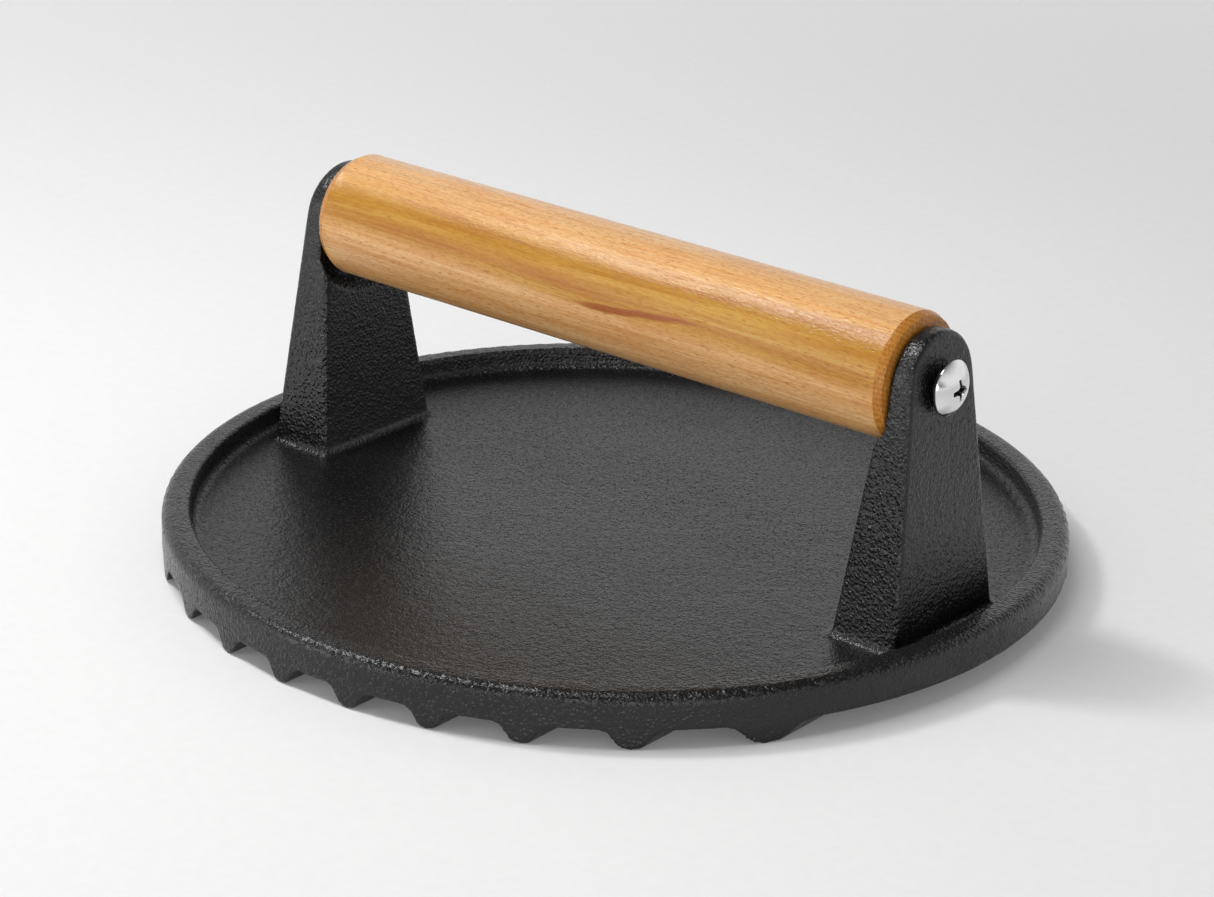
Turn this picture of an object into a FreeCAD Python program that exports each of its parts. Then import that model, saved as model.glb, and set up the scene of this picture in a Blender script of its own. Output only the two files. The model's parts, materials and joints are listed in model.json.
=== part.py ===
"""Patty press: a ribbed cast-iron disc with two cast posts and a turned beech grip between them.

Frame: origin on the standing plane under the middle of the disc, X along the grip, Z up, millimetres.
"""
import FreeCAD, Part
import math
import os

import Sketcher

NAME = "patty_press"
SHEET = "sizes"

# Driving dimensions, in millimetres and degrees.
DRIVING_SIZES = {
    # disc
    "plate_radius": 100.0,
    "rib_drop": 4.1,
    "floor_height": 7.0,
    "rim_height": 12.0,
    "rim_width": 6.3,
    "rim_inner_draft": 5.0,
    "rim_outer_round": 2.4,
    "rim_inner_round": 0.6,
    "rim_foot_round": 1.8,
    # ribs under the disc, parallel to Y
    "rib_count": 10,
    "rib_pitch": 17.95,
    "rib_shift": 2.6,
    "rib_land_width": 0.8,
    "rib_crest_round": 2.0,
    "rib_root_round": 2.5,
    "rib_flank_angle": 57.0,
    "rib_foot_overlap": 2.0,
    # posts
    "axis_height": 60.2,
    "post_outer_x": 83.7,
    "post_outer_draft": 4.6,
    "post_inner_x": 76.9,
    "post_inner_draft": 6.0,
    "post_flank_draft": 6.86,
    "post_top_radius": 11.5,
    "post_arris_round": 1.2,
    "post_foot_round": 1.9,
    "seat_x": 78.2,
    "seat_radius": 14.6,
    "seat_lip_reach": 8.0,
    "screw_hole_diameter": 5.06,
    # grip
    "grip_diameter": 28.0,
    "grip_length": 155.4,
    "grip_chamfer_length": 1.7,
    "grip_chamfer_drop": 0.8,
    "insert_bore_diameter": 8.0,
    "insert_bore_depth": 14.0,
    "pilot_diameter": 5.6,
    "pilot_depth": 24.0,
    "drill_point_half_angle": 59.0,
    # threaded insert nuts in the grip
    "insert_length": 12.0,
    "insert_recess": 0.5,
    "insert_root_diameter": 7.0,
    "insert_barb_pitch": 2.0,
    "insert_thread_diameter": 5.0,
    # screws and their lock washers
    "washer_gap": 0.1,
    "washer_outer_diameter": 9.2,
    "washer_inner_diameter": 5.2,
    "washer_thickness": 1.2,
    "washer_slot_width": 0.7,
    "screw_diameter": 4.9,
    "screw_length": 16.0,
    "screw_tip_chamfer": 0.6,
    "head_diameter": 11.9,
    "head_height": 2.9,
    "head_edge_height": 0.5,
    "recess_span": 5.4,
    "recess_tip_span": 2.2,
    "recess_arm_width": 1.1,
    "recess_tip_arm_width": 0.6,
    "recess_depth": 2.3,
    # how far a cutting outline reaches past what it cuts
    "cut_margin": 1.0,
}
TOLERANCE = 0.01


class Size:
    """A dimension that carries its value together with the sheet formula that gives it."""

    def __init__(self, value, formula):
        self.value = value
        self.formula = formula

    def _joined(self, sign, other, result):
        right = other.formula if isinstance(other, Size) else str(other)
        return Size(result, "(" + self.formula + " " + sign + " " + right + ")")

    def __add__(self, other):
        return self._joined("+", other, self.value + plain(other))

    def __sub__(self, other):
        return self._joined("-", other, self.value - plain(other))

    def __mul__(self, other):
        return self._joined("*", other, self.value * plain(other))

    def __truediv__(self, other):
        return self._joined("/", other, self.value / plain(other))

    def __neg__(self):
        return self * -1


def plain(size):
    return size.value if isinstance(size, Size) else size


def cell(alias):
    return Size(float(DRIVING_SIZES[alias]), SHEET + "." + alias)


def sine(angle):
    return Size(math.sin(math.radians(angle.value)), "sin(" + angle.formula + ")")


def cosine(angle):
    return Size(math.cos(math.radians(angle.value)), "cos(" + angle.formula + ")")


def tangent(angle):
    return Size(math.tan(math.radians(angle.value)), "tan(" + angle.formula + ")")


ZERO = Size(0.0, "0")

document = FreeCAD.newDocument(NAME)
sheet = document.addObject("Spreadsheet::Sheet", SHEET)
for row, (alias_name, number) in enumerate(DRIVING_SIZES.items(), start=1):
    sheet.set("A%d" % row, alias_name)
    sheet.set("B%d" % row, str(number))
    sheet.setAlias("B%d" % row, alias_name)
document.recompute()


# ---------------------------------------------------------------- drawing helpers

def new_body(label):
    body = document.addObject("PartDesign::Body", label)
    body.Label = label
    return body


def new_sketch(body, name, plane, offset=None):
    """A sketch on one of the body's own origin planes, moved by offset along the plane's normal."""
    sketch = body.newObject("Sketcher::SketchObject", name)
    support = [item for item in body.Origin.OriginFeatures if item.Role == plane][0]
    sketch.AttachmentSupport = (support, [""])
    sketch.MapMode = "FlatFace"
    if offset is not None:
        bind(sketch, "AttachmentOffset.Base.z", offset)
    return sketch


def bind(target, path, size):
    target.setExpression(path, size.formula)


def drive(sketch, constraint, size):
    """Adds a dimension to the sketch and ties it to the sheet."""
    index = sketch.addConstraint(constraint)
    bind(sketch, "Constraints[%d]" % index, size)


def place_point(sketch, curve, end, across, up):
    """Fixes one end of a curve at (across, up) from the sketch's origin."""
    for kind, size, axis in (("DistanceX", across, -2), ("DistanceY", up, -1)):
        if size is ZERO:
            sketch.addConstraint(Sketcher.Constraint("PointOnObject", curve, end, axis))
        else:
            drive(sketch, Sketcher.Constraint(kind, -1, 1, curve, end, size.value), size)


def draw_outline(sketch, corners, arcs=None):
    """A closed outline through corners, each given as (across, up).

    arcs maps the number of a corner to the (across, up, radius) of the arc that leads on from it.
    """
    arcs = arcs or {}
    points = [FreeCAD.Vector(across.value, up.value, 0) for across, up in corners]
    normal = FreeCAD.Vector(0, 0, 1)
    first = sketch.GeometryCount
    count = len(points)
    starts = []
    for k, start in enumerate(points):
        end = points[(k + 1) % count]
        if k in arcs:
            across, up, radius = arcs[k]
            centre = FreeCAD.Vector(across.value, up.value, 0)
            circle = Part.Circle(centre, normal, radius.value)
            leftward = (start - centre).cross(end - centre).z > 0
            near, far = (start, end) if leftward else (end, start)
            curve = Part.ArcOfCircle(circle, circle.parameter(near), circle.parameter(far))
        else:
            leftward = True
            curve = Part.LineSegment(start, end)
        starts.append(1 if leftward else 2)
        sketch.addGeometry(curve, False)
    for k, (across, up) in enumerate(corners):
        following = (k + 1) % count
        join = (first + k, 3 - starts[k], first + following, starts[following])
        sketch.addConstraint(Sketcher.Constraint("Coincident", *join))
        place_point(sketch, first + k, starts[k], across, up)
        if k in arcs:
            radius = arcs[k][2]
            drive(sketch, Sketcher.Constraint("Radius", first + k, radius.value), radius)


def draw_circle(sketch, across, up, radius):
    centre = FreeCAD.Vector(across.value, up.value, 0)
    curve = sketch.addGeometry(Part.Circle(centre, FreeCAD.Vector(0, 0, 1), radius.value), False)
    place_point(sketch, curve, 3, across, up)
    drive(sketch, Sketcher.Constraint("Radius", curve, radius.value), radius)


def add_pad(body, name, sketch, length, centred=False):
    pad = body.newObject("PartDesign::Pad", name)
    pad.Profile = sketch
    pad.SideType = "Symmetric" if centred else "One side"
    bind(pad, "Length", length)
    return pad


def add_cut(body, name, sketch, length, centred=False, reversed_way=False):
    """A pocket that has to take material away."""
    before = solid_volume(body)
    cut = body.newObject("PartDesign::Pocket", name)
    cut.Profile = sketch
    cut.SideType = "Symmetric" if centred else "One side"
    cut.Reversed = reversed_way
    bind(cut, "Length", length)
    require_less(body, name, before)
    return cut


def add_turned(body, kind, name, sketch, axis):
    turned = body.newObject(kind, name)
    turned.Profile = sketch
    turned.ReferenceAxis = (sketch, [axis])
    turned.Angle = 360.0
    return turned


def add_fillet(body, name, edge_names, radius):
    """Rounds the named edges of the body's last feature."""
    base = body.Tip
    fillet = body.newObject("PartDesign::Fillet", name)
    fillet.Base = (base, edge_names)
    bind(fillet, "Radius", radius)
    document.recompute()
    if "Up-to-date" not in fillet.State:
        raise ValueError(name + " failed")


def edges_where(body, test):
    shape = body.Tip.Shape
    names = ["Edge%d" % (k + 1) for k, edge in enumerate(shape.Edges) if test(edge)]
    if not names:
        raise ValueError(body.Label + ": no edge matches")
    return names


def solid_volume(body):
    document.recompute()
    return body.Shape.Volume


def require_less(body, name, before):
    if solid_volume(body) >= before:
        raise ValueError(name + " removed nothing")


def is_level_circle(edge, radius, z):
    """True for a circular edge of this radius that lies level at height z."""
    if not isinstance(edge.Curve, Part.Circle) or not is_level(edge, z):
        return False
    return abs(edge.Curve.Radius - radius) < TOLERANCE


def is_level(edge, z):
    return edge.BoundBox.ZLength < TOLERANCE and abs(edge.BoundBox.ZMin - z) < TOLERANCE


# ---------------------------------------------------------------- cast-iron press plate

plate_radius = cell("plate_radius")
rib_drop = cell("rib_drop")
floor_height = cell("floor_height")
rim_height = cell("rim_height")
axis_height = cell("axis_height")
rim_inner_top = plate_radius - cell("rim_width")
rim_inner_foot = rim_inner_top - (rim_height - floor_height) * tangent(cell("rim_inner_draft"))


def make_disc(body):
    """The disc with its raised rim, turned about Z. Its underside is the valley between the ribs."""
    sketch = new_sketch(body, "disc_outline", "XZ_Plane")
    draw_outline(sketch, [
        (ZERO, rib_drop),
        (plate_radius, rib_drop),
        (plate_radius, rim_height),
        (rim_inner_top, rim_height),
        (rim_inner_foot, floor_height),
        (ZERO, floor_height),
    ])
    add_turned(body, "PartDesign::Revolution", "disc", sketch, "V_Axis")


def make_ribs(body):
    """Parallel ribs under the disc, cut off flush with its outer wall."""
    count = cell("rib_count")
    pitch = cell("rib_pitch")
    first_crest = cell("rib_shift") - (count - 1) * pitch / 2
    angle = cell("rib_flank_angle")
    crest_round = cell("rib_crest_round")
    root_round = cell("rib_root_round")
    land_half = cell("rib_land_width") / 2
    crest_end = land_half + crest_round * sine(angle)
    crest_end_up = crest_round - crest_round * cosine(angle)
    root_start_up = rib_drop - root_round + root_round * cosine(angle)
    root_start = crest_end + (root_start_up - crest_end_up) / tangent(angle)
    root_end = root_start + root_round * sine(angle)
    foot_end = root_end + cell("rib_foot_overlap")
    bury = rib_drop + (floor_height - rib_drop) / 2
    half = [
        (land_half, ZERO),
        (crest_end, crest_end_up),
        (root_start, root_start_up),
        (root_end, rib_drop),
        (foot_end, rib_drop),
        (foot_end, bury),
    ]
    corners = [(first_crest + across, up) for across, up in half]
    corners += [(first_crest - across, up) for across, up in reversed(half)]
    root_centre_up = rib_drop - root_round
    arcs = {
        0: (first_crest + land_half, crest_round, crest_round),
        2: (first_crest + root_end, root_centre_up, root_round),
        8: (first_crest - root_end, root_centre_up, root_round),
        10: (first_crest - land_half, crest_round, crest_round),
    }
    sketch = new_sketch(body, "rib_section", "XZ_Plane")
    draw_outline(sketch, corners, arcs)
    rib = add_pad(body, "rib", sketch, plate_radius * 2, centred=True)
    ribs = body.newObject("PartDesign::LinearPattern", "ribs")
    ribs.Originals = [rib]
    ribs.Direction = (sketch, ["H_Axis"])
    ribs.Mode = "Spacing"
    bind(ribs, "Offset", pitch)
    bind(ribs, "Occurrences", count)
    body.Tip = ribs
    beyond_ribs = plate_radius * 1.5
    trim = new_sketch(body, "rib_trim_outline", "XY_Plane")
    draw_circle(trim, ZERO, ZERO, plate_radius)
    draw_circle(trim, ZERO, ZERO, beyond_ribs)
    add_cut(body, "rib_ends", trim, floor_height, reversed_way=True)


def make_posts(body):
    """Two mirrored posts: faces across X lean in, flanks across Y lean in to a round head."""
    margin = cell("cut_margin")
    rise = axis_height - floor_height
    above = cell("post_top_radius") + margin
    top = axis_height + above
    outer_lean = tangent(cell("post_outer_draft"))
    inner_lean = tangent(cell("post_inner_draft"))
    outer_foot = cell("post_outer_x") + rise * outer_lean
    outer_top = cell("post_outer_x") - above * outer_lean
    inner_foot = cell("post_inner_x") - rise * inner_lean
    inner_top = cell("post_inner_x") + above * inner_lean
    buried = (floor_height + rib_drop) / 2
    flank_draft = cell("post_flank_draft")
    head_radius = cell("post_top_radius")
    foot_half = head_radius / cosine(flank_draft) + rise * tangent(flank_draft)
    faces = new_sketch(body, "post_faces", "XZ_Plane")
    for side in (1, -1):
        draw_outline(faces, [
            (inner_foot * side, buried),
            (inner_foot * side, floor_height),
            (inner_top * side, top),
            (outer_top * side, top),
            (outer_foot * side, floor_height),
            (outer_foot * side, buried),
        ])
    add_pad(body, "posts", faces, foot_half * 2, centred=True)

    # Everything outside a post's side view is cut away: two leaning flanks, tangent to the head.
    beyond = foot_half + margin
    shoulder = head_radius * cosine(flank_draft)
    shoulder_up = axis_height + head_radius * sine(flank_draft)
    flanks = new_sketch(body, "post_flanks", "YZ_Plane")
    draw_outline(flanks, [
        (-foot_half, floor_height),
        (-beyond, floor_height),
        (-beyond, top),
        (beyond, top),
        (beyond, floor_height),
        (foot_half, floor_height),
        (shoulder, shoulder_up),
        (-shoulder, shoulder_up),
    ], arcs={6: (ZERO, axis_height, head_radius)})
    add_cut(body, "post_sides", flanks, (outer_foot + margin) * 2, centred=True)
    arrises = edges_where(body, lambda edge: edge.BoundBox.ZMax > rim_height.value + TOLERANCE)
    add_fillet(body, "post_arrises", arrises, cell("post_arris_round"))


def make_seats(body):
    """A flat, round seat in each post for the end of the grip, with a 45 degree lip below it."""
    seat = cell("seat_x")
    seat_radius = cell("seat_radius")
    reach = cell("seat_lip_reach")
    sketch = new_sketch(body, "seat_section", "XZ_Plane")
    for side in (1, -1):
        draw_outline(sketch, [
            ((seat - reach) * side, axis_height),
            (seat * side, axis_height),
            (seat * side, axis_height - seat_radius),
            ((seat - reach) * side, axis_height - seat_radius - reach),
        ])
    ends = [FreeCAD.Vector(side * seat.value, axis_height.value, 0) for side in (-1, 1)]
    centre_line = sketch.addGeometry(Part.LineSegment(*ends), True)
    place_point(sketch, centre_line, 1, -seat, axis_height)
    place_point(sketch, centre_line, 2, seat, axis_height)
    before = solid_volume(body)
    add_turned(body, "PartDesign::Groove", "seats", sketch, "Axis0")
    require_less(body, "seats", before)
    holes = new_sketch(body, "screw_hole_outline", "YZ_Plane")
    draw_circle(holes, ZERO, axis_height, cell("screw_hole_diameter") / 2)
    add_cut(body, "screw_holes", holes, plate_radius * 2, centred=True)


def round_disc(body):
    """Roundings where the posts and the rim meet the floor, and along the top of the rim."""

    def is_foot(edge):
        floor = floor_height.value
        return is_level(edge, floor) and not is_level_circle(edge, rim_inner_foot.value, floor)

    feet = edges_where(body, is_foot)
    add_fillet(body, "post_feet", feet, cell("post_foot_round"))
    for name, radius, height, size in (
        ("rim_foot", rim_inner_foot, floor_height, cell("rim_foot_round")),
        ("rim_outer_edge", plate_radius, rim_height, cell("rim_outer_round")),
        ("rim_inner_edge", rim_inner_top, rim_height, cell("rim_inner_round")),
    ):
        ring = edges_where(body, lambda edge: is_level_circle(edge, radius.value, height.value))
        add_fillet(body, name, ring, size)


def make_press_plate():
    body = new_body("press_plate")
    make_disc(body)
    make_ribs(body)
    make_posts(body)
    make_seats(body)
    round_disc(body)
    return body


# ---------------------------------------------------------------- beech grip

def make_handle_grip():
    """The turned grip, drawn about its own axis, bored at both ends for the insert nuts."""
    body = new_body("handle_grip")
    bind(body, "Placement.Base.z", axis_height)
    half = cell("grip_length") / 2
    radius = cell("grip_diameter") / 2
    end_radius = radius - cell("grip_chamfer_drop")
    barrel_end = half - cell("grip_chamfer_length")
    bore = cell("insert_bore_diameter") / 2
    bore_end = half - cell("insert_bore_depth")
    pilot = cell("pilot_diameter") / 2
    pilot_end = half - cell("pilot_depth")
    point_end = pilot_end - pilot / tangent(cell("drill_point_half_angle"))
    sketch = new_sketch(body, "grip_section", "XZ_Plane")
    draw_outline(sketch, [
        (point_end, ZERO),
        (pilot_end, pilot),
        (bore_end, pilot),
        (bore_end, bore),
        (half, bore),
        (half, end_radius),
        (barrel_end, radius),
        (-barrel_end, radius),
        (-half, end_radius),
        (-half, bore),
        (-bore_end, bore),
        (-bore_end, pilot),
        (-pilot_end, pilot),
        (-point_end, ZERO),
    ])
    add_turned(body, "PartDesign::Revolution", "grip", sketch, "H_Axis")
    return body


# ---------------------------------------------------------------- pieces at each end of the grip

SIDES = {"right": 0.0, "left": 180.0}


def place_at_end(body, side, distance):
    """Puts a piece drawn along +X at this distance from the middle, on the grip's axis."""
    body.Placement.Rotation = FreeCAD.Rotation(FreeCAD.Vector(0, 0, 1), SIDES[side])
    bind(body, "Placement.Base.x", distance if side == "right" else -distance)
    bind(body, "Placement.Base.z", axis_height)


def make_insert_nut(side):
    """A threaded insert nut with barbs that grip the wood. Its outer end is at the origin."""
    body = new_body("insert_nut_" + side)
    place_at_end(body, side, cell("grip_length") / 2 - cell("insert_recess"))
    length = cell("insert_length")
    thread = cell("insert_thread_diameter") / 2
    crest = cell("insert_bore_diameter") / 2
    root = cell("insert_root_diameter") / 2
    pitch = cell("insert_barb_pitch")
    barb_count = int(DRIVING_SIZES["insert_length"] / DRIVING_SIZES["insert_barb_pitch"])
    corners = [(ZERO, thread), (ZERO, crest)]
    for barb in range(1, barb_count):
        corners.append((-(pitch * barb), root))
        corners.append((-(pitch * barb), crest))
    corners += [(-length, root), (-length, thread)]
    sketch = new_sketch(body, "insert_section_" + side, "XZ_Plane")
    draw_outline(sketch, corners)
    add_turned(body, "PartDesign::Revolution", "insert_" + side, sketch, "H_Axis")
    return body


def washer_inner_face():
    """Distance from the middle to a washer's inner face, clear of the leaning outer face of the post."""
    lean = cell("washer_outer_diameter") / 2 * tangent(cell("post_outer_draft"))
    return cell("post_outer_x") + lean + cell("washer_gap")


def make_lock_washer(side):
    """A split lock washer. Its inner face is at the origin."""
    body = new_body("lock_washer_" + side)
    place_at_end(body, side, washer_inner_face())
    rings = new_sketch(body, "washer_rings_" + side, "YZ_Plane")
    draw_circle(rings, ZERO, ZERO, cell("washer_outer_diameter") / 2)
    draw_circle(rings, ZERO, ZERO, cell("washer_inner_diameter") / 2)
    add_pad(body, "washer_" + side, rings, cell("washer_thickness"))
    half_slot = cell("washer_slot_width") / 2
    far = cell("washer_outer_diameter")
    slot = new_sketch(body, "washer_slot_" + side, "YZ_Plane")
    draw_outline(slot, [(-half_slot, ZERO), (half_slot, ZERO), (half_slot, far), (-half_slot, far)])
    add_cut(body, "washer_split_" + side, slot, cell("washer_thickness"), reversed_way=True)
    return body


def make_screw(side):
    """A truss-head screw with a cross recess. The underside of the head is at the origin."""
    body = new_body("screw_" + side)
    place_at_end(body, side, washer_inner_face() + cell("washer_thickness"))
    shank = cell("screw_diameter") / 2
    tip = -cell("screw_length")
    chamfer = cell("screw_tip_chamfer")
    head = cell("head_diameter") / 2
    edge = cell("head_edge_height")
    top = cell("head_height")
    dome_rise = top - edge
    dome_radius = (head * head + dome_rise * dome_rise) / dome_rise / 2
    sketch = new_sketch(body, "screw_section_" + side, "XZ_Plane")
    draw_outline(sketch, [
        (tip, ZERO),
        (tip, shank - chamfer),
        (tip + chamfer, shank),
        (ZERO, shank),
        (ZERO, head),
        (edge, head),
        (top, ZERO),
    ], arcs={5: (top - dome_radius, ZERO, dome_radius)})
    add_turned(body, "PartDesign::Revolution", "screw_turned_" + side, sketch, "H_Axis")
    before = solid_volume(body)
    spans = (cell("recess_span"), cell("recess_tip_span"))
    arms = (cell("recess_arm_width"), cell("recess_tip_arm_width"))
    mouth = draw_cross(body, "recess_mouth_" + side, top, spans[0], arms[0])
    foot = draw_cross(body, "recess_foot_" + side, top - cell("recess_depth"), spans[1], arms[1])
    recess = body.newObject("PartDesign::SubtractiveLoft", "recess_" + side)
    recess.Profile = mouth
    recess.Sections = [foot]
    recess.Ruled = True
    require_less(body, "recess_" + side, before)
    return body


def draw_cross(body, name, distance, span, arm_width):
    """A plus-shaped outline across the screw's axis."""
    far = span / 2
    near = arm_width / 2
    quarter = [(far, near), (near, near), (near, far)]
    corners = []
    for across_sign, up_sign, order in ((1, 1, 1), (-1, 1, -1), (-1, -1, 1), (1, -1, -1)):
        for across, up in quarter[::order]:
            corners.append((across * across_sign, up * up_sign))
    sketch = new_sketch(body, name, "YZ_Plane", offset=distance)
    draw_outline(sketch, corners)
    return sketch


# ---------------------------------------------------------------- build, check, write

pieces = [make_press_plate(), make_handle_grip()]
for end in SIDES:
    pieces.append(make_insert_nut(end))
    pieces.append(make_lock_washer(end))
    pieces.append(make_screw(end))
document.recompute()

for item in document.Objects:
    faults = [state for state in item.State if state in ("Invalid", "Error")]
    if faults:
        raise ValueError(item.Name + " is " + ", ".join(faults))

for piece in pieces:
    shape = piece.Shape
    if shape.isNull() or not shape.isValid() or len(shape.Solids) != 1:
        raise ValueError(piece.Label + " is not one valid solid")

os.makedirs("parts", exist_ok=True)
for piece in pieces:
    piece.Shape.exportStep(os.path.join("parts", piece.Label + ".step"))
    print(piece.Label, "%.2f cm3" % (piece.Shape.Volume / 1000))
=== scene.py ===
"""Patty press: the looks of its iron casting, beech grip and screws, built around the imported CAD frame."""
import json
import math

import bmesh
import bpy
import numpy as np
from mathutils import Matrix, Vector, noise


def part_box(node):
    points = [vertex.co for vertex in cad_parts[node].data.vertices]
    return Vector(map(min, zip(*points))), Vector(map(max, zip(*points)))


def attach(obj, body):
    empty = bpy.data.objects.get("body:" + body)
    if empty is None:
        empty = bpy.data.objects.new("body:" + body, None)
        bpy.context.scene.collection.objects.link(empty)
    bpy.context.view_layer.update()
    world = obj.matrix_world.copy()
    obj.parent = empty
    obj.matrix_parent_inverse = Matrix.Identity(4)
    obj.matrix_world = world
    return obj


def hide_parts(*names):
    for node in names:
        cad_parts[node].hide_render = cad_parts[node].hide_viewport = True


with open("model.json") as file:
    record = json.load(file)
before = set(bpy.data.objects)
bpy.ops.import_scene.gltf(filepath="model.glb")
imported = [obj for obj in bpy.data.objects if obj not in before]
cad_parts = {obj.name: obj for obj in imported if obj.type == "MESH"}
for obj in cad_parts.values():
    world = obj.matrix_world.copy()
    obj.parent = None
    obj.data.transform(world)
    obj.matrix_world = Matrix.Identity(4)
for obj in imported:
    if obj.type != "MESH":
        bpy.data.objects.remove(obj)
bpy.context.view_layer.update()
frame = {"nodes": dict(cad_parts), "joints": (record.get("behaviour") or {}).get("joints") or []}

MM = 0.001
scene = bpy.context.scene

# The grip's axis runs along X at the height of the joint that it turns on.
AXIS_HEIGHT = frame["joints"][0]["pos_m"][2]
GRIP_LOW, GRIP_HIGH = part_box("handle_grip")
GRIP_HALF = GRIP_HIGH.x
GRIP_RADIUS = (GRIP_HIGH.y - GRIP_LOW.y) / 2

# The wood's growth layers are tilted back about the grip's axis. Their golden part ends below that axis,
# at a depth given here at stations from 0 near the left end to 1 near the right: 1 is none, 0 the deepest.
LAYER_TILT = math.radians(27.4)
FIGURE_LENGTH = 156 * MM
FIGURE_DEEPEST = 12 * MM
FIGURE_FOOT = (
    (0.0, 0.68), (0.12, 0.68), (0.28, 0.62), (0.42, 0.52),
    (0.56, 0.54), (0.72, 0.58), (0.88, 0.54), (1.0, 0.52),
)

# The screws' domed heads.
HEAD_HEIGHT = 2.9 * MM
HEAD_EDGE = 0.5 * MM
SCREW_LOW, SCREW_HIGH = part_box("screw_right")
HEAD_RADIUS = (SCREW_HIGH.y - SCREW_LOW.y) / 2
HEAD_RISE = HEAD_HEIGHT - HEAD_EDGE
HEAD_DOME = (HEAD_RADIUS * HEAD_RADIUS + HEAD_RISE * HEAD_RISE) / (2 * HEAD_RISE)
HEAD_INNER = SCREW_HIGH.x - HEAD_HEIGHT


# ---------------------------------------------------------------- materials

def from_srgb(red, green, blue):
    """A display colour, each part from 0 to 255, as the linear colour that a shader takes."""
    return tuple(((part / 255 + 0.055) / 1.055) ** 2.4 for part in (red, green, blue)) + (1.0,)


class Graph:
    """A material under construction. Textures are read in the object's own coordinates, in metres."""

    def __init__(self, name):
        self.material = bpy.data.materials.new(name)
        self.material.use_nodes = True
        self.tree = self.material.node_tree
        self.shader = self.tree.nodes["Principled BSDF"]
        coordinates = self.tree.nodes.new("ShaderNodeTexCoord")
        self.place = coordinates.outputs["Object"]
        self.normal = coordinates.outputs["Normal"]

    def put(self, node, inputs):
        """Fills a node's inputs, each with a link from another node or with a plain value."""
        for name, value in inputs.items():
            if isinstance(value, bpy.types.NodeSocket):
                self.tree.links.new(value, node.inputs[name])
            else:
                node.inputs[name].default_value = value

    def vector(self, operation, *inputs):
        node = self.tree.nodes.new("ShaderNodeVectorMath")
        node.operation = operation
        self.put(node, dict(enumerate(inputs)))
        return node.outputs["Value" if operation in ("DOT_PRODUCT", "LENGTH") else "Vector"]

    def part_along(self, vector, direction):
        """The part of a vector along a direction of length 1."""
        return self.vector("DOT_PRODUCT", vector, direction)

    def facing(self, direction):
        """How squarely a face looks along a direction, either way: 0 is edge on and 1 is square."""
        return self.math("ABSOLUTE", self.part_along(self.normal, direction))

    def combine(self, x, y, z):
        node = self.tree.nodes.new("ShaderNodeCombineXYZ")
        self.put(node, {"X": x, "Y": y, "Z": z})
        return node.outputs["Vector"]

    def math(self, operation, *inputs, clamp=False):
        node = self.tree.nodes.new("ShaderNodeMath")
        node.operation = operation
        node.use_clamp = clamp
        self.put(node, dict(enumerate(inputs)))
        return node.outputs[0]

    def noise(self, grain, place=None, detail=2.0, roughness=0.5):
        """Noise from 0 to 1 with lumps of about this grain, in metres."""
        node = self.tree.nodes.new("ShaderNodeTexNoise")
        self.put(node, {"Vector": place or self.place, "Scale": 1 / grain, "Detail": detail,
                        "Roughness": roughness})
        return node.outputs["Fac"]

    def cells(self, grain, smoothness):
        """Rounded pebbles of about this grain: 0 at their middles, rising to their edges."""
        node = self.tree.nodes.new("ShaderNodeTexVoronoi")
        node.feature = "SMOOTH_F1"
        self.put(node, {"Vector": self.place, "Scale": 1 / grain, "Smoothness": smoothness})
        return node.outputs["Distance"]

    def spread(self, value, low, high, to_low=0.0, to_high=1.0):
        """Maps low..high onto to_low..to_high, held at both ends."""
        node = self.tree.nodes.new("ShaderNodeMapRange")
        node.interpolation_type = "SMOOTHSTEP"
        self.put(node, {"Value": value, "From Min": low, "From Max": high,
                        "To Min": to_low, "To Max": to_high})
        return node.outputs["Result"]

    def ramp(self, value, stops, interpolation="LINEAR"):
        """A colour that runs through stops of (position, colour)."""
        node = self.tree.nodes.new("ShaderNodeValToRGB")
        node.color_ramp.interpolation = interpolation
        elements = node.color_ramp.elements
        while len(elements) < len(stops):
            elements.new(0.5)
        for element, (position, colour) in zip(elements, stops):
            element.position = position
            element.color = colour
        self.put(node, {"Fac": value})
        return node.outputs["Color"]

    def mix(self, factor, first, second, blend="MIX"):
        node = self.tree.nodes.new("ShaderNodeMix")
        node.data_type = "RGBA"
        node.blend_type = blend
        sockets = [item for item in node.inputs if item.enabled]
        for socket, value in zip(sockets, (factor, first, second)):
            if isinstance(value, bpy.types.NodeSocket):
                self.tree.links.new(value, socket)
            else:
                socket.default_value = value
        return next(item for item in node.outputs if item.enabled)

    def bump(self, height, distance, below=None):
        """A normal bent by a height from 0 to 1 that stands this many metres proud."""
        node = self.tree.nodes.new("ShaderNodeBump")
        self.put(node, {"Height": height, "Distance": distance})
        if below is not None:
            self.put(node, {"Normal": below})
        return node.outputs["Normal"]

    def finish(self, colour, roughness, normal, **constants):
        self.put(self.shader, {"Base Color": colour, "Roughness": roughness, "Normal": normal})
        for name, value in constants.items():
            self.shader.inputs[name.replace("_", " ")].default_value = value
        return self.material


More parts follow.
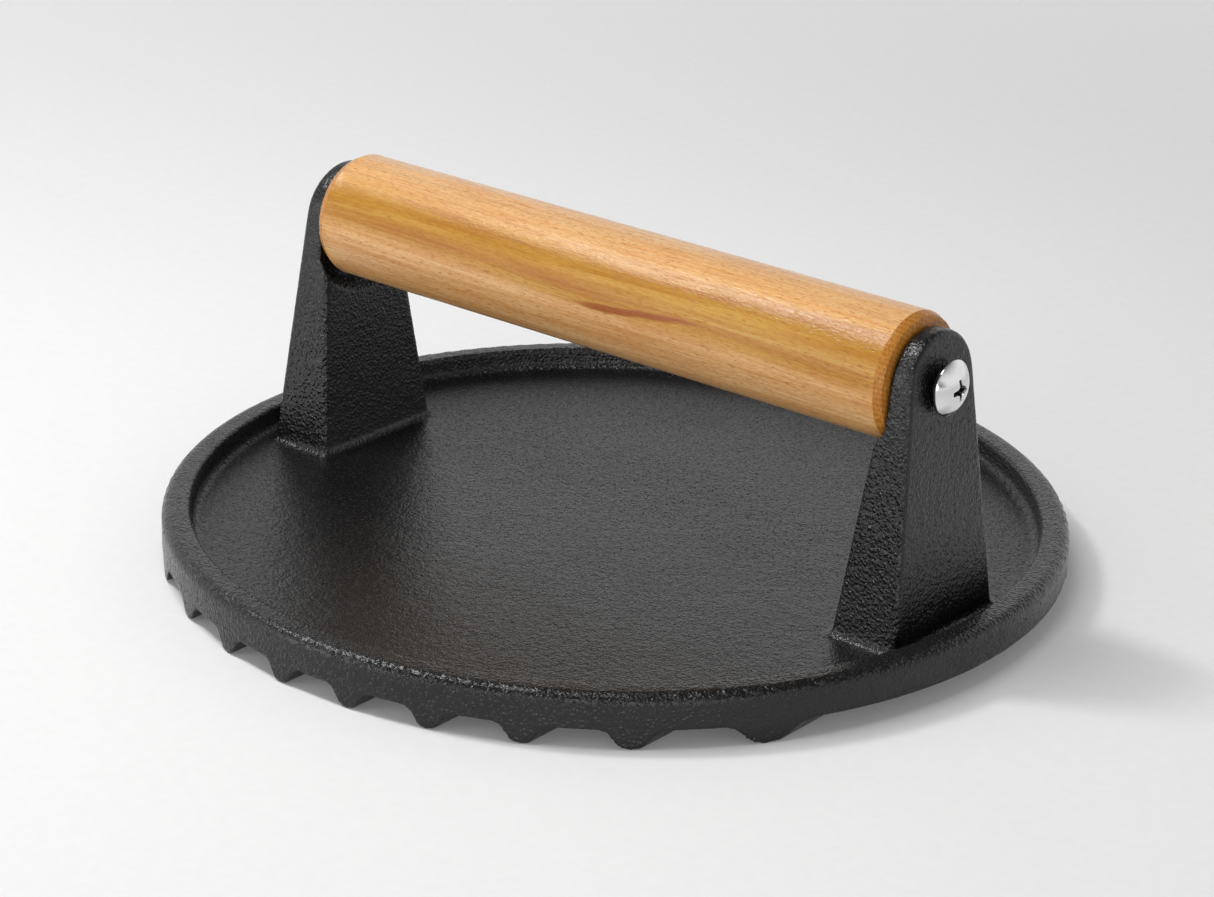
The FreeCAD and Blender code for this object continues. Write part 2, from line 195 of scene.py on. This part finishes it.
def make_cast_iron():
    """Oiled black iron: round pebbles that glint on the posts' flanks and in the corners, finer elsewhere."""
    graph = Graph("seasoned_cast_iron")

    # How coarse the skin is, from 0 to 1: most on upright faces that look along Y, from the rim to the grip.
    upright = graph.math("SUBTRACT", 1.0, graph.facing((0.0, 0.0, 1.0)))
    sideways = graph.facing((1.0, 0.0, 0.0))
    up = graph.part_along(graph.place, (0.0, 0.0, 1.0))
    above_rim = graph.spread(up, 8 * MM, 13 * MM, 0.45, 1.0)
    below_grip = graph.spread(up, 38 * MM, 52 * MM, 1.0, 0.30)
    coarse = graph.math("MULTIPLY", above_rim, graph.spread(upright, 0.02, 0.25, 0.25, 1.0))
    coarse = graph.math("MULTIPLY", coarse, graph.spread(sideways, 0.5, 0.95, 1.0, 0.30))
    coarse = graph.math("MULTIPLY", coarse, below_grip)

    pebbles = graph.spread(graph.cells(0.95 * MM, smoothness=0.25), 0.08, 0.55, 1.0, 0.0)
    grit = graph.noise(0.50 * MM, detail=2.0, roughness=0.55)
    peel = graph.noise(1.3 * MM, detail=3.0, roughness=0.6)
    swell = graph.noise(4.0 * MM, detail=2.0)
    patches = graph.noise(22 * MM, detail=4.0, roughness=0.6)
    skin = graph.bump(swell, 0.12 * MM)
    skin = graph.bump(peel, 0.19 * MM, below=skin)
    skin = graph.bump(graph.math("MULTIPLY", pebbles, coarse), 0.27 * MM, below=skin)
    skin = graph.bump(grit, 0.13 * MM, below=skin)
    pits = graph.spread(graph.noise(0.7 * MM, detail=1.5), 0.58, 0.68)
    shade = graph.ramp(patches, [(0.3, (0.003, 0.003, 0.0031, 1)), (0.7, (0.006, 0.006, 0.0062, 1))])
    # Lighter specks on the grit's peaks are painted glints: a painted highlight in the base colour.
    painted_glint_specks = graph.spread(grit, 0.60, 0.78)
    colour = graph.mix(graph.math("MULTIPLY", painted_glint_specks, 0.2), shade, (0.02, 0.02, 0.021, 1))
    roughness = graph.spread(patches, 0.3, 0.7, 0.17, 0.24)
    roughness = graph.math("ADD", roughness, graph.math("MULTIPLY", pits, 0.4))
    return graph.finish(colour, roughness, skin, IOR=1.45)


def make_beech():
    """Lacquered beech turned along X: pale sapwood over a golden band, a brown streak, fine dark flecks."""
    graph = Graph("lacquered_beech")
    from_axis = graph.vector("SUBTRACT", graph.place, (0.0, 0.0, AXIS_HEIGHT))
    along = graph.part_along(from_axis, (1.0, 0.0, 0.0))
    across = graph.part_along(from_axis, (0.0, math.sin(LAYER_TILT), math.cos(LAYER_TILT)))
    deep = graph.part_along(from_axis, (0.0, math.cos(LAYER_TILT), -math.sin(LAYER_TILT)))
    station = graph.math("DIVIDE", graph.math("ADD", along, FIGURE_LENGTH / 2), FIGURE_LENGTH, clamp=True)

    # How far below the axis the golden layers end, along the grip: white is 0 and black is the deepest.
    stops = [(stop, (level, level, level, 1)) for stop, level in FIGURE_FOOT]
    foot = graph.ramp(station, stops, interpolation="B_SPLINE")
    foot_across = graph.math("SUBTRACT", graph.math("MULTIPLY", foot, FIGURE_DEEPEST), FIGURE_DEEPEST)
    above_foot = graph.math("SUBTRACT", across, foot_across)
    drift = graph.noise(6 * MM, place=graph.vector("MULTIPLY", from_axis, (0.12, 1.0, 1.0)), detail=2.0)
    drift = graph.math("SUBTRACT", drift, 0.5)
    layer = graph.math("ADD", above_foot, graph.math("MULTIPLY", drift, 2.0 * MM))
    in_layers = graph.combine(graph.math("MULTIPLY", along, 0.028), layer, deep)

    # Golden layers in the middle, with lighter wood below and above them.
    pale = from_srgb(212, 172, 124)
    wheat = from_srgb(182, 142, 66)
    gold = from_srgb(170, 124, 44)
    amber = from_srgb(158, 103, 28)
    clay = from_srgb(212, 173, 124)
    bands = graph.noise(2.4 * MM, place=in_layers, detail=3.0, roughness=0.55)
    golden = graph.ramp(bands, [(0.32, amber), (0.50, gold), (0.68, wheat)])
    lower = graph.mix(graph.spread(bands, 0.3, 0.7), clay, from_srgb(200, 152, 96))
    upper = graph.mix(graph.spread(bands, 0.3, 0.7, 0.0, 0.8), pale, from_srgb(220, 168, 104))
    colour = graph.mix(graph.spread(layer, -2.2 * MM, 1.2 * MM), lower, golden)
    wavering = graph.math("ADD", across, graph.math("MULTIPLY", drift, 3.0 * MM))
    colour = graph.mix(graph.spread(wavering, 2.2 * MM, 9.2 * MM), colour, upper)

    # Fine lines along the layers, and short fibres at a slight slant to the axis.
    lines = graph.noise(0.7 * MM, place=in_layers, detail=3.0, roughness=0.6)
    line_mask = graph.spread(lines, 0.40, 0.66, 0.0, 0.40)
    colour = graph.mix(line_mask, colour, from_srgb(226, 186, 136), "MULTIPLY")
    slant = graph.math("ADD", across, graph.math("MULTIPLY", along, 0.07))
    in_fibres = graph.combine(graph.math("MULTIPLY", along, 0.16), slant, deep)
    fibres = graph.noise(0.30 * MM, place=in_fibres, detail=3.0, roughness=0.65)
    fibre_mask = graph.spread(fibres, 0.44, 0.62, 0.0, 0.35)
    colour = graph.mix(fibre_mask, colour, from_srgb(222, 176, 124), "MULTIPLY")

    # A brown streak that climbs from the foot of the golden layers into them.
    fade = graph.spread(station, 0.66, 0.76, 1.0, 0.0)
    reach = graph.math("MULTIPLY", graph.spread(station, 0.46, 0.53), fade)
    half_width = graph.math("MULTIPLY", reach, graph.spread(bands, 0.35, 0.65, 0.45 * MM, 0.95 * MM))
    course = graph.spread(station, 0.46, 0.74, -5.8 * MM, -3.1 * MM)
    off_course = graph.math("SUBTRACT", across, course)
    wander = graph.math("MULTIPLY", graph.math("SUBTRACT", graph.noise(9 * MM, detail=2.0), 0.5), 1.6 * MM)
    from_streak = graph.math("ABSOLUTE", graph.math("ADD", off_course, wander))
    streak = graph.spread(graph.math("SUBTRACT", from_streak, half_width), -0.5 * MM, 0.3 * MM, 1.0, 0.0)
    colour = graph.mix(graph.math("MULTIPLY", streak, reach), colour, from_srgb(140, 72, 18))

    # Short dark flecks, which are also the pores.
    flecks = graph.noise(0.28 * MM, place=graph.vector("MULTIPLY", from_axis, (0.15, 1.0, 1.0)), detail=1.0)
    fleck_mask = graph.spread(flecks, 0.61, 0.71)
    colour = graph.mix(graph.math("MULTIPLY", fleck_mask, 0.6), colour, from_srgb(146, 88, 34))

    # The turned-down edge and the ends show the layers cut across.
    end_face = graph.spread(graph.facing((1.0, 0.0, 0.0)), 0.10, 0.25)
    rings = graph.math("SINE", graph.math("DIVIDE", layer, 0.16 * MM))
    rays = graph.noise(0.34 * MM, place=graph.vector("MULTIPLY", from_axis, (1.0, 1.0, 0.25)), detail=2.0)
    checks = graph.math("ADD", graph.math("MULTIPLY", rings, 0.08), rays)
    end_colour = graph.ramp(checks, [(0.3, from_srgb(150, 92, 28)), (0.72, from_srgb(186, 128, 58))])
    colour = graph.mix(end_face, colour, end_colour)

    pores = graph.bump(fleck_mask, -0.02 * MM)
    in_brushing = graph.vector("MULTIPLY", from_axis, (0.4, 1.0, 1.0))
    brushed = graph.noise(0.45 * MM, place=in_brushing, detail=3.0, roughness=0.6)
    skin = graph.bump(brushed, 0.10 * MM, below=pores)
    roughness = graph.spread(lines, 0.3, 0.7, 0.16, 0.26)
    return graph.finish(colour, roughness, skin, Specular_IOR_Level=0.24)


def make_polished_steel():
    """Plated steel, dulled and painted dark as shade inside the driver recess: the part of the head that lies
    below its dome.
    """
    graph = Graph("polished_steel")
    in_brushing = graph.vector("MULTIPLY", graph.place, (1.0, 0.15, 1.0))
    brushing = graph.noise(0.25 * MM, place=in_brushing, detail=3.0)
    tarnish = graph.noise(2.5 * MM, detail=3.0)
    from_axis = graph.vector("SUBTRACT", graph.place, (0.0, 0.0, AXIS_HEIGHT))
    aside = graph.vector("MULTIPLY", from_axis, (0.0, 1.0, 1.0))
    aside_squared = graph.vector("DOT_PRODUCT", aside, aside)
    dome = graph.math("SQRT", graph.math("SUBTRACT", HEAD_DOME * HEAD_DOME, aside_squared))
    dome_out = graph.math("ADD", dome, HEAD_INNER + HEAD_HEIGHT - HEAD_DOME)
    out = graph.math("ABSOLUTE", graph.part_along(graph.place, (1.0, 0.0, 0.0)))
    recess = graph.spread(graph.math("SUBTRACT", dome_out, out), 0.12 * MM, 0.5 * MM)
    near_axis = graph.spread(aside_squared, 8.5 * MM * MM, 9.5 * MM * MM, 1.0, 0.0)
    recess = graph.math("MULTIPLY", recess, near_axis)
    bright = graph.ramp(tarnish, [(0.3, (0.72, 0.72, 0.73, 1)), (0.7, (0.82, 0.82, 0.82, 1))])
    # Inside the recess the colour is painted dark: painted shade.
    colour = graph.mix(recess, bright, (0.06, 0.06, 0.062, 1))
    roughness = graph.spread(brushing, 0.3, 0.7, 0.10, 0.18)
    roughness = graph.math("ADD", roughness, graph.spread(tarnish, 0.4, 0.8, 0.0, 0.06))
    roughness = graph.math("ADD", roughness, graph.math("MULTIPLY", recess, 0.25))
    skin = graph.bump(brushing, 0.003 * MM)
    return graph.finish(colour, roughness, skin, Metallic=1.0)


def make_black_spring_steel():
    """Blackened steel with a dull mottle, for the lock washers."""
    graph = Graph("black_spring_steel")
    mottle = graph.noise(0.6 * MM, detail=3.0)
    colour = graph.ramp(mottle, [(0.3, (0.012, 0.012, 0.014, 1)), (0.7, (0.035, 0.035, 0.038, 1))])
    roughness = graph.spread(mottle, 0.3, 0.7, 0.35, 0.5)
    return graph.finish(colour, roughness, graph.bump(mottle, 0.01 * MM), Metallic=0.6)


def make_turned_brass():
    """Brass with fine turning lines, for the insert nuts."""
    graph = Graph("turned_brass")
    lines = graph.noise(0.12 * MM, place=graph.vector("MULTIPLY", graph.place, (1.0, 0.1, 0.1)), detail=2.0)
    colour = graph.ramp(lines, [(0.3, (0.55, 0.38, 0.14, 1)), (0.7, (0.68, 0.50, 0.22, 1))])
    roughness = graph.spread(lines, 0.3, 0.7, 0.22, 0.35)
    return graph.finish(colour, roughness, graph.bump(lines, 0.005 * MM), Metallic=1.0)


# ---------------------------------------------------------------- mesh helpers

def link(name, data):
    """A new object with this mesh, camera or light."""
    piece = bpy.data.objects.new(name, data)
    scene.collection.objects.link(piece)
    return piece


def settle(piece):
    """Applies the piece's modifiers to its mesh."""
    bpy.context.view_layer.update()
    evaluated = piece.evaluated_get(bpy.context.evaluated_depsgraph_get())
    mesh = bpy.data.meshes.new_from_object(evaluated)
    piece.modifiers.clear()
    piece.data = mesh


def lathe(name, profile, segments, place):
    """Turns a closed profile of (along, radius) points about X. Points on the axis become one vertex."""
    built = bmesh.new()
    rings = []
    for along, radius in profile:
        if radius < 1e-9:
            rings.append([built.verts.new((along, 0, 0))] * segments)
            continue
        ring = []
        for index in range(segments):
            angle = 2 * math.pi * index / segments
            ring.append(built.verts.new((along, radius * math.cos(angle), radius * math.sin(angle))))
        rings.append(ring)
    for first, second in zip(rings, rings[1:]):
        for index in range(segments):
            following = (index + 1) % segments
            corners = []
            for vertex in (first[index], first[following], second[following], second[index]):
                if vertex not in corners:
                    corners.append(vertex)
            built.faces.new(corners)
    bmesh.ops.recalc_face_normals(built, faces=built.faces)
    mesh = bpy.data.meshes.new(name)
    built.to_mesh(mesh)
    built.free()
    mesh.transform(place)
    return link(name, mesh)


def smooth(piece, sharp_degrees=None):
    """Smooth shading, with edges sharper than this angle left crisp."""
    piece.data.shade_smooth()
    if sharp_degrees is not None:
        piece.data.set_sharp_from_angle(angle=math.radians(sharp_degrees))


def arc(centre, radius, start, end, steps):
    """Points on an arc, from start to end in degrees, both included."""
    points = []
    for step in range(steps + 1):
        angle = math.radians(start + (end - start) * step / steps)
        points.append((centre[0] + radius * math.cos(angle), centre[1] + radius * math.sin(angle)))
    return points


def dress(piece, material, body, slot_name, *nodes):
    """Gives a new piece its material and its body, and hides the CAD nodes that it stands for. The slot name
    is not used.
    """
    piece.data.materials.clear()
    piece.data.materials.append(material)
    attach(piece, body)
    if nodes:
        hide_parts(*nodes)


# ---------------------------------------------------------------- the casting

CAST_VOXEL = 0.5 * MM
CAST_TRIANGLES = 190_000


def cast_waviness(point):
    """How far the cast skin falls short of its pattern at a point, in metres."""
    broad = noise.noise(point / (17 * MM))
    narrow = noise.noise(point / (5.5 * MM) + Vector((7.1, 3.3, 5.7)))
    return 0.06 * MM * (1 + broad) + 0.025 * MM * (1 + narrow)


def make_pattern():
    """The casting's CAD mesh with its faces joined up, which the cast skin is laid over."""
    built = bmesh.new()
    built.from_mesh(frame["nodes"]["press_plate"].data)
    bmesh.ops.remove_doubles(built, verts=built.verts, dist=0.001 * MM)
    mesh = bpy.data.meshes.new("casting_pattern")
    built.to_mesh(mesh)
    built.free()
    return link("casting_pattern", mesh)


def make_casting(material):
    """An even skin of small faces laid over the CAD shape, with softened arrises and a cast waviness."""
    pattern = make_pattern()
    casting = link("cast_plate_and_posts", pattern.data.copy())
    remesh = casting.modifiers.new("skin", "REMESH")
    remesh.mode = "VOXEL"
    remesh.voxel_size = CAST_VOXEL
    even = casting.modifiers.new("even", "SMOOTH")
    even.iterations = 3
    lay = casting.modifiers.new("lay", "SHRINKWRAP")
    lay.target = pattern
    soften = casting.modifiers.new("soften", "SMOOTH")
    soften.iterations = 2
    settle(casting)
    bpy.data.objects.remove(pattern)

    mesh = casting.data
    count = len(mesh.vertices)
    places = np.empty(count * 3, np.float32)
    normals = np.empty(count * 3, np.float32)
    mesh.vertices.foreach_get("co", places)
    mesh.vertex_normals.foreach_get("vector", normals)
    places = places.reshape(-1, 3)
    short = np.array([cast_waviness(Vector(point)) for point in places], np.float32)
    places -= normals.reshape(-1, 3) * short[:, None]
    mesh.vertices.foreach_set("co", places.ravel())
    mesh.update()

    mesh.calc_loop_triangles()
    thin = casting.modifiers.new("thin", "DECIMATE")
    thin.ratio = min(1.0, CAST_TRIANGLES / len(mesh.loop_triangles))
    settle(casting)
    smooth(casting)
    dress(casting, material, "press", "cast_iron", "press_plate")


# ---------------------------------------------------------------- the grip

def make_grip(material):
    """The turned grip: a barrel with a crisp chamfer at each end, bored for its insert nuts."""
    chamfer_length, chamfer_drop = 1.7 * MM, 0.8 * MM
    bore, bore_depth = 4.0 * MM, 14.0 * MM
    bore_chamfer = 0.3 * MM
    pilot, pilot_depth = 2.8 * MM, 24.0 * MM
    point = pilot / math.tan(math.radians(59))
    soft = 0.12 * MM
    end_radius = GRIP_RADIUS - chamfer_drop
    barrel_end = GRIP_HALF - chamfer_length
    right = [
        (GRIP_HALF - pilot_depth - point, 0.0),
        (GRIP_HALF - pilot_depth, pilot),
        (GRIP_HALF - bore_depth, pilot),
        (GRIP_HALF - bore_depth, bore),
        (GRIP_HALF - bore_chamfer, bore),
        (GRIP_HALF, bore + bore_chamfer),
        (GRIP_HALF, end_radius - soft),
        (GRIP_HALF - soft / 3, end_radius - soft / 4),
        (GRIP_HALF - soft, end_radius + soft / 3),
        (barrel_end + soft, GRIP_RADIUS - soft / 2),
        (barrel_end, GRIP_RADIUS - soft / 6),
        (barrel_end - soft, GRIP_RADIUS),
    ]
    stations = 60
    reach = barrel_end - 2 * soft
    middle = []
    for station in range(stations + 1):
        along = reach * (1 - 2 * station / stations)
        waver = noise.noise(Vector((along / (11 * MM), 0.4, 0.9)))
        middle.append((along, GRIP_RADIUS - 0.02 * MM * (1 + waver)))
    left = [(-along, radius) for along, radius in reversed(right)]
    place = Matrix.Translation((0, 0, AXIS_HEIGHT))
    grip = lathe("turned_grip", right + middle + left, segments=160, place=place)
    smooth(grip, 30)
    dress(grip, material, "handle", "beech", "handle_grip")


# ---------------------------------------------------------------- screws

SHANK_RADIUS = 2.45 * MM
SHANK_TIP = 0.6 * MM
HEAD_LIP = 0.18 * MM
RECESS_TURN = math.radians(6)


def make_recess_cutter(top):
    """A cross with rounded inner corners that narrows down to its tip, for cutting the driver recess.

    At each level, span is half the cross's width, half is half an arm's width, and corner is the
    radius between two arms.
    """
    mouth = {"up": top, "span": 2.75 * MM, "half": 0.62 * MM, "corner": 0.75 * MM}
    waist = {"up": top - 1.1 * MM, "span": 1.9 * MM, "half": 0.46 * MM, "corner": 0.5 * MM}
    tip = {"up": top - 2.2 * MM, "span": 0.9 * MM, "half": 0.30 * MM, "corner": 0.2 * MM}
    over = dict(mouth, up=top + 1.0 * MM, span=3.3 * MM, half=0.72 * MM)
    built = bmesh.new()
    rings = []
    for level in (over, mouth, waist, tip):
        ring = []
        for quarter in range(4):
            turn = Matrix.Rotation(quarter * math.pi / 2, 3, "X")
            near, far, corner = level["half"], level["span"], level["corner"]
            outline = [(far, -near * 0.7), (far, near * 0.7), (far - near * 0.4, near)]
            outline += arc((near + corner, near + corner), corner, 270, 180, 5)
            for across, up in outline:
                ring.append(built.verts.new(turn @ Vector((level["up"], across, up))))
        rings.append(ring)
    for first, second in zip(rings, rings[1:]):
        for index in range(len(first)):
            following = (index + 1) % len(first)
            built.faces.new((first[index], first[following], second[following], second[index]))
    built.faces.new(rings[0])
    built.faces.new(rings[-1])
    bmesh.ops.recalc_face_normals(built, faces=built.faces)
    mesh = bpy.data.meshes.new("recess_cutter")
    built.to_mesh(mesh)
    built.free()
    return link("recess_cutter", mesh)


def make_screw(side, material):
    """A truss-head screw, drawn along +X with the underside of its head at the origin, then set in place."""
    low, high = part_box("screw_" + side)
    length = high.x - low.x - HEAD_HEIGHT
    rim_angle = math.degrees(math.asin(HEAD_RADIUS / HEAD_DOME))
    profile = [
        (-length, 0.0),
        (-length, SHANK_RADIUS - SHANK_TIP),
        (-length + SHANK_TIP, SHANK_RADIUS),
        (0.0, SHANK_RADIUS),
    ]
    profile += arc((HEAD_LIP, HEAD_RADIUS - HEAD_LIP), HEAD_LIP, 180, 90, 4)
    profile += arc((HEAD_HEIGHT - HEAD_DOME, 0.0), HEAD_DOME, rim_angle, 0, 26)
    profile[-1] = (HEAD_HEIGHT, 0.0)
    screw = lathe("machine_screw_" + side, profile, segments=96, place=Matrix.Identity(4))
    cutter = make_recess_cutter(HEAD_HEIGHT)
    cut = screw.modifiers.new("recess", "BOOLEAN")
    cut.operation = "DIFFERENCE"
    cut.solver = "EXACT"
    cut.object = cutter
    settle(screw)
    bpy.data.objects.remove(cutter)

    soften = screw.modifiers.new("edges", "BEVEL")
    soften.width = 0.07 * MM
    soften.segments = 2
    soften.limit_method = "ANGLE"
    soften.angle_limit = math.radians(32)
    settle(screw)
    smooth(screw, 40)
    outward = 1 if side == "right" else -1
    head_inner = (high.x if side == "right" else -low.x) - HEAD_HEIGHT
    driven = Matrix.Rotation(outward * RECESS_TURN, 4, "X")
    face = Matrix.Rotation(0 if side == "right" else math.pi, 4, "Z")
    place = Matrix.Translation((outward * head_inner, 0, AXIS_HEIGHT))
    screw.data.transform(place @ face @ driven)
    dress(screw, material, "handle", "bright_steel", "screw_" + side)


# ---------------------------------------------------------------- camera, floor and light

CAMERA_AZIMUTH = math.radians(38.70)
CAMERA_ELEVATION = math.radians(22.06)
CAMERA_ROLL = math.radians(1.568)
CAMERA_DISTANCE = 0.7615
CAMERA_LENS = 102.6
AIM_HEIGHT = 23.3 * MM
AIM_ACROSS = -2.3 * MM

# How bright the surroundings are at the horizon and overhead, and what is left of that behind the camera.
HORIZON = 0.92
OVERHEAD = 0.14
DARK_ROOM = 0.2
SOFTBOX_AIM = Vector((0, 0, 30 * MM))


def make_camera():
    """The camera that took the photo, as fitted to it: its direction from the object, roll and lens."""
    sine, cosine = math.sin(CAMERA_AZIMUTH), math.cos(CAMERA_AZIMUTH)
    level = math.cos(CAMERA_ELEVATION)
    back = Vector((sine * level, -cosine * level, math.sin(CAMERA_ELEVATION)))
    right = Vector((cosine, sine, 0))
    up = back.cross(right)
    aim = right * AIM_ACROSS + Vector((0, 0, AIM_HEIGHT))
    rolled_right = right * math.cos(CAMERA_ROLL) + up * math.sin(CAMERA_ROLL)
    rolled_up = up * math.cos(CAMERA_ROLL) - right * math.sin(CAMERA_ROLL)
    data = bpy.data.cameras.new("camera")
    data.lens = CAMERA_LENS
    data.sensor_width = 36.0
    data.clip_start = 0.05
    data.clip_end = 50.0
    camera = link("camera", data)
    turn = Matrix((rolled_right, rolled_up, back)).transposed().to_4x4()
    camera.matrix_world = Matrix.Translation(aim + back * CAMERA_DISTANCE) @ turn
    scene.camera = camera


def make_floor():
    """A large sheet of white paper."""
    built = bmesh.new()
    bmesh.ops.create_grid(built, x_segments=24, y_segments=24, size=4.0)
    mesh = bpy.data.meshes.new("studio_floor")
    built.to_mesh(mesh)
    built.free()
    floor = link("studio_floor", mesh)
    graph = Graph("studio_floor_paper")
    fibres = graph.noise(3 * MM, detail=3.0)
    colour = graph.ramp(fibres, [(0.3, (0.75, 0.75, 0.75, 1)), (0.7, (0.77, 0.77, 0.77, 1))])

    # The paper glows more with distance from the object, so that it stays white out to the horizon.
    away = graph.spread(graph.vector("LENGTH", graph.place), 0.22, 1.1)
    glow = graph.ramp(away, [(0.0, (0.07, 0.07, 0.07, 1)), (1.0, (0.5, 0.5, 0.5, 1))])
    graph.put(graph.shader, {"Emission Color": glow})
    paper = graph.finish(colour, 0.9, graph.bump(fibres, 0.01 * MM), Emission_Strength=1.0)
    mesh.materials.append(paper)


def make_softbox(name, place, width, depth, power):
    """A softbox of this width along X that faces the middle of the object from this place."""
    data = bpy.data.lights.new(name, "AREA")
    data.shape = "RECTANGLE"
    data.size = width
    data.size_y = depth
    data.energy = power
    light = link(name, data)
    back = (Vector(place) - SOFTBOX_AIM).normalized()
    up = back.cross(Vector((1, 0, 0))).normalized()
    across = up.cross(back)
    light.matrix_world = Matrix.Translation(place) @ Matrix((across, up, back)).transposed().to_4x4()


def make_surroundings():
    """A white cyclorama: bright around the horizon, dimmer overhead and dark where the camera stands."""
    world = bpy.data.worlds.new("studio")
    world.use_nodes = True
    nodes, links = world.node_tree.nodes, world.node_tree.links
    direction = nodes.new("ShaderNodeTexCoord")
    parts = nodes.new("ShaderNodeSeparateXYZ")
    overhead = nodes.new("ShaderNodeMapRange")
    overhead.interpolation_type = "SMOOTHSTEP"
    for name, value in (("From Min", 0.30), ("From Max", 0.80), ("To Min", HORIZON), ("To Max", OVERHEAD)):
        overhead.inputs[name].default_value = value
    beside_camera = nodes.new("ShaderNodeVectorMath")
    beside_camera.operation = "DOT_PRODUCT"
    beside_camera.inputs[1].default_value = (math.sin(CAMERA_AZIMUTH), -math.cos(CAMERA_AZIMUTH), -0.4)
    room = nodes.new("ShaderNodeMapRange")
    room.interpolation_type = "SMOOTHSTEP"
    for name, value in (("From Min", 0.55), ("From Max", 0.85), ("To Min", 1.0), ("To Max", DARK_ROOM)):
        room.inputs[name].default_value = value
    light = nodes.new("ShaderNodeMath")
    light.operation = "MULTIPLY"
    links.new(direction.outputs["Generated"], parts.inputs["Vector"])
    links.new(direction.outputs["Generated"], beside_camera.inputs[0])
    links.new(parts.outputs["Z"], overhead.inputs["Value"])
    links.new(beside_camera.outputs["Value"], room.inputs["Value"])
    links.new(overhead.outputs["Result"], light.inputs[0])
    links.new(room.outputs["Result"], light.inputs[1])
    links.new(light.outputs["Value"], nodes["Background"].inputs["Strength"])
    nodes["Background"].inputs["Color"].default_value = (1, 1, 1, 1)
    scene.world = world


def make_studio():
    scene.view_settings.view_transform = "Standard"
    make_surroundings()
    make_softbox("key_light", (-0.12, -0.18, 0.66), width=0.58, depth=0.17, power=2.25)
    make_softbox("key_core", (-0.37, -0.18, 0.64), width=0.14, depth=0.08, power=1.7)
    make_softbox("front_light", (-0.55, -0.95, 0.24), width=0.50, depth=0.50, power=2.6)
    make_softbox("low_light", (0.72, -1.02, 0.15), width=1.40, depth=0.28, power=5.2)
    make_floor()


# ---------------------------------------------------------------- put it together

iron = make_cast_iron()
beech = make_beech()
steel = make_polished_steel()
washer_steel = make_black_spring_steel()
brass = make_turned_brass()

make_camera()
make_studio()
make_casting(iron)
make_grip(beech)
for end in ("right", "left"):
    make_screw(end, steel)
    for node, finish in (("lock_washer_" + end, washer_steel), ("insert_nut_" + end, brass)):
        frame["nodes"][node].data.materials.clear()
        frame["nodes"][node].data.materials.append(finish)
